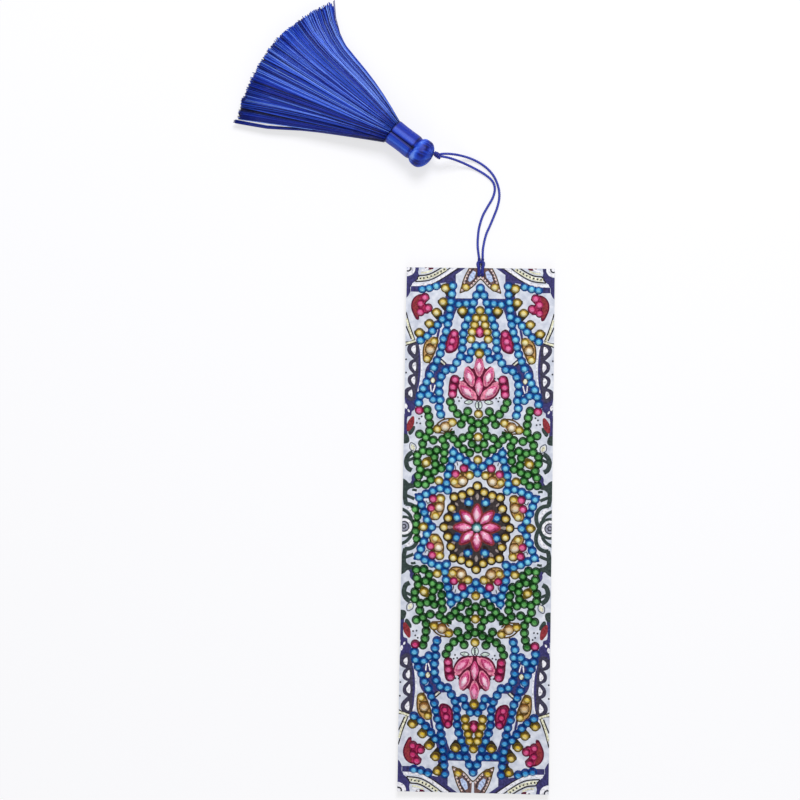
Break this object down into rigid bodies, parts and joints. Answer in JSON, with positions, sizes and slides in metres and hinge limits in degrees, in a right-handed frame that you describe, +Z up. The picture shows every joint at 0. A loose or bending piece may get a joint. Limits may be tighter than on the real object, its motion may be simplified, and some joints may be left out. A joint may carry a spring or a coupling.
{
  "type": "diamond painting bookmark",
  "caption": "Stiff oblong bookmark card with rows of stick-on faceted gems in a mirrored flower pattern, a hitched cord through a hole at one end and a fanned silky tassel.",
  "frame": {"origin": "centre of the card's back face", "axes": "+X across the card, +Y along it towards the hole and the tassel, +Z up through it to the gem side"},
  "size_m": [0.1314, 0.3201, 0.0121],
  "materials": {
    "leather_back": "fine-grained, matte",
    "board": "pressed grey board",
    "print": "printed sheet, pearly pale lavender with dark ink",
    "film": "thin clear glue film",
    "cord": "twisted royal blue cord",
    "tassel_silk": "silky royal blue thread",
    "gem_blue": "faceted blue resin",
    "gem_green": "faceted green resin",
    "gem_gold": "faceted yellow-gold resin",
    "gem_pink": "faceted hot pink resin",
    "crystal_cream": "faceted champagne crystal with gold and pink gems at its sides",
    "crystal_rose": "faceted rose crystal",
    "gem_aqua": "faceted pale aqua crystal"
  },
  "bodies": {
    "card": {"back_cover": "leather_back", "board_core": "board", "print_sheet": "print", "adhesive_film": "film", "centre_gem": "gem_aqua", "centre_flower": "crystal_rose", "gold_ring": "gem_gold", "blue_star": "gem_blue", "upper_bud_top_right": "crystal_cream", "upper_bud_top_left": "crystal_cream", "upper_bud_bottom_left": "crystal_cream", "upper_bud_bottom_right": "crystal_cream", "side_bud_top_right": "crystal_cream", "side_bud_top_left": "crystal_cream", "side_bud_bottom_left": "crystal_cream", "side_bud_bottom_right": "crystal_cream", "green_vine_top": "gem_green", "green_vine_bottom": "gem_green", "green_edge_row": "gem_green", "vine_crystal_top_right": "crystal_cream", "vine_crystal_top_left": "crystal_cream", "vine_crystal_bottom_left": "crystal_cream", "vine_crystal_bottom_right": "crystal_cream", "blue_column_top_right": "gem_blue", "blue_column_top_left": "gem_blue", "blue_column_bottom_left": "gem_blue", "blue_column_bottom_right": "gem_blue", "blue_canopy_top": "gem_blue", "blue_canopy_bottom": "gem_blue", "flower_arch_top": "gem_blue", "flower_arch_bottom": "gem_blue", "gold_arch_top": "gem_gold", "gold_arch_bottom": "gem_gold", "teardrop_top": "gem_pink", "teardrop_bottom": "gem_pink", "water_lily_top": "crystal_rose", "water_lily_bottom": "crystal_rose", "lily_side_row_top_right": "gem_pink", "lily_side_row_top_left": "gem_pink", "lily_side_row_bottom_left": "gem_pink", "lily_side_row_bottom_right": "gem_pink", "pink_pod_top_right": "gem_pink", "pink_pod_top_left": "gem_pink", "pink_pod_bottom_left": "gem_pink", "pink_pod_bottom_right": "gem_pink", "tulip_top_right": "gem_pink", "tulip_top_left": "gem_pink", "tulip_bottom_left": "gem_pink", "tulip_bottom_right": "gem_pink", "side_crystal_top_right": "crystal_cream", "side_crystal_top_left": "crystal_cream", "side_crystal_bottom_left": "crystal_cream", "side_crystal_bottom_right": "crystal_cream"},
    "hitch": {"cord_hitch": "cord"},
    "cord": {"cord_strand_right": "cord", "cord_strand_left": "cord"},
    "tassel": {"tassel_knot": "cord", "tassel_head": "tassel_silk", "neck_binding": "tassel_silk", "tassel_skirt": "tassel_silk"}
  },
  "joints": [
    {"name": "hitch_swivel", "type": "hinge", "parent": "card", "child": "hitch", "pos_m": [0, 0.10125, 0], "axis": [0, 0, 1], "range_deg": [-8, 8]},
    {"name": "cord_fold", "type": "hinge", "parent": "hitch", "child": "cord", "pos_m": [0, 0.109, -0.00085], "axis": [1, 0, 0], "range_deg": [-90, 90]},
    {"name": "tassel_swing", "type": "hinge", "parent": "cord", "child": "tassel", "pos_m": [-0.0182, 0.1505, 0.00465], "axis": [0, 0, 1], "range_deg": [-50, 50]}
  ]
}
